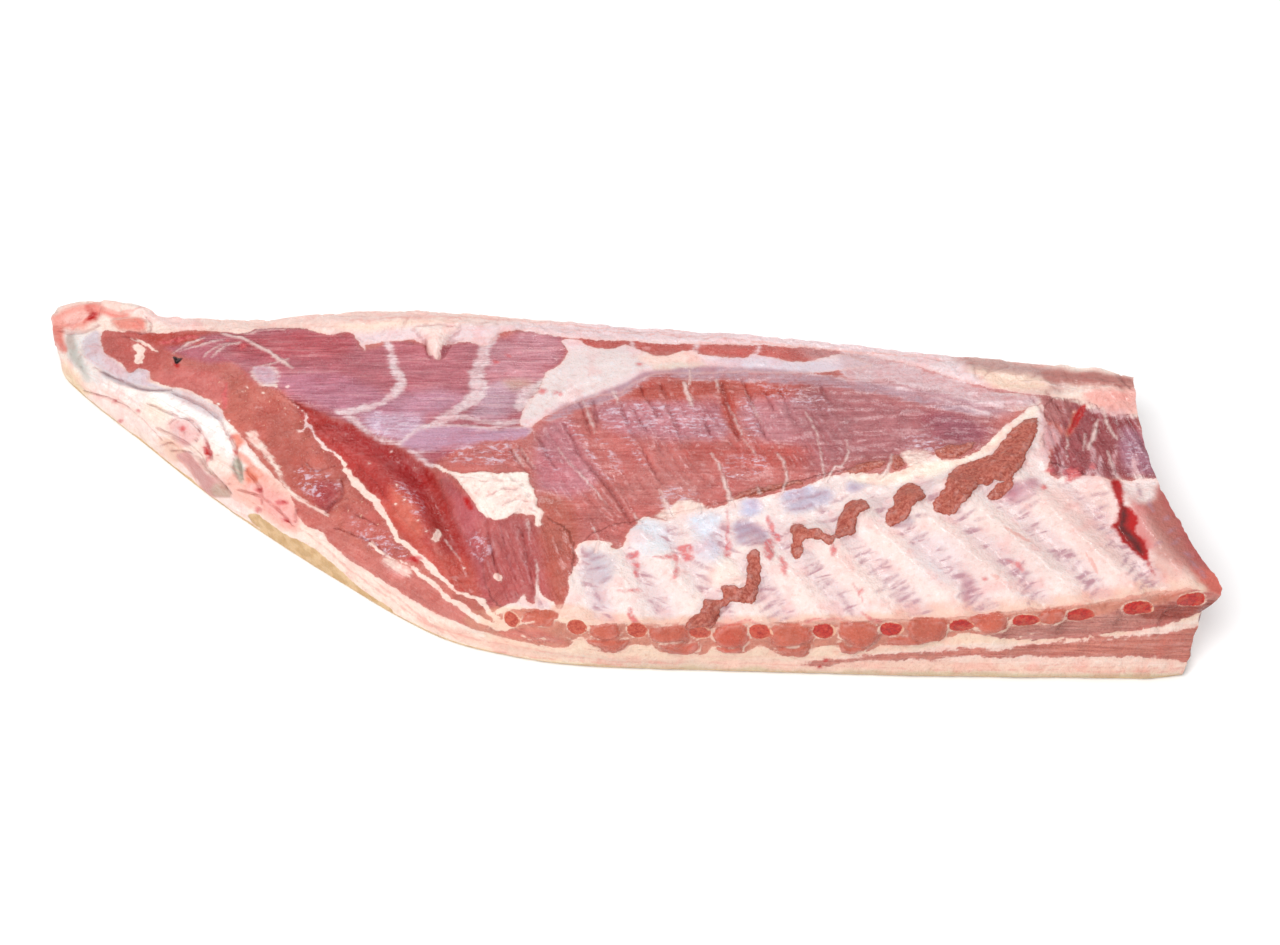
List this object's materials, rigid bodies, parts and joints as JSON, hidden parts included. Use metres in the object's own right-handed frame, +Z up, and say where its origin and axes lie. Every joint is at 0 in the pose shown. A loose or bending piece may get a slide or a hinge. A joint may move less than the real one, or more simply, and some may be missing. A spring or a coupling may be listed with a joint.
{
  "type": "pork belly slab",
  "caption": "Whole side of pork belly on the bone, lying skin down: rind and fat tray with a rim, lean meat with lining and diaphragm stubs, and sawn ribs along the loin side.",
  "frame": {"origin": "middle of the slab's box, on the surface it lies on", "axes": "+X along the slab towards the shoulder end, +Y from the sawn loin side to the belly line, +Z up out of the inner side"},
  "size_m": [0.7113, 0.2888, 0.0638],
  "materials": {
    "fat": "moist cream and pink fat with a pale tan rind under it",
    "outer_lean": "moist pink cut muscle",
    "lean": "moist red muscle, partly under pale lining",
    "bone": "sawn bone end, dark red marrow in a pale rim"
  },
  "bodies": {
    "root": {"fat_and_rind": "fat", "outer_lean": "outer_lean", "lean": "lean", "rib_01": "bone", "rib_02": "bone", "rib_03": "bone", "rib_04": "bone", "rib_05": "bone", "rib_06": "bone", "rib_07": "bone", "rib_08": "bone", "rib_09": "bone", "rib_10": "bone", "rib_11": "bone", "rib_12": "bone"}
  },
  "joints": []
}
